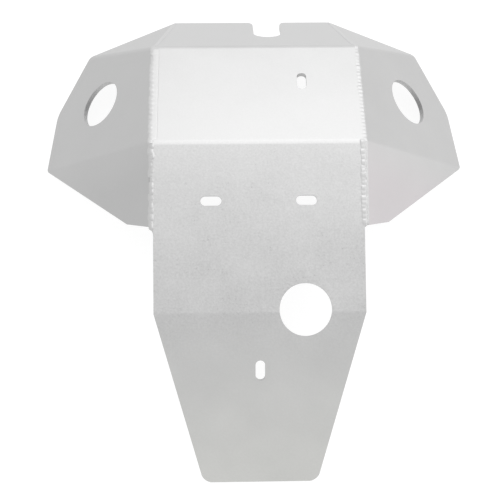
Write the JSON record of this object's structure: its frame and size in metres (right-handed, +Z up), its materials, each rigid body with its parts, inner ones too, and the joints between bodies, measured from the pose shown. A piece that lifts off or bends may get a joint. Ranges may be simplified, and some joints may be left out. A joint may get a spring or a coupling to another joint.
{
  "type": "motorcycle skid plate",
  "caption": "Folded aluminium skid plate for a motorcycle, with a welded wing on each side, bolt slots, a drain hole and a notched lip.",
  "frame": {"origin": "centre of the box of the part, on the ground it lies on", "axes": "+X to the part's right as seen from the road side with the lip at the top, +Y along its length towards the lip, +Z up, which is the road side; the part lies road side up on its two wing edges and its tail end"},
  "size_m": [0.4372, 0.4932, 0.1312],
  "materials": {
    "sheet": "mill finish, fine grain",
    "weld": "bright rippled weld"
  },
  "bodies": {
    "root": {"centre_plate": "sheet", "left_wing": "sheet", "right_wing": "sheet", "left_front_weld": "weld", "left_lower_weld": "weld", "right_front_weld": "weld", "right_lower_weld": "weld"}
  },
  "joints": []
}
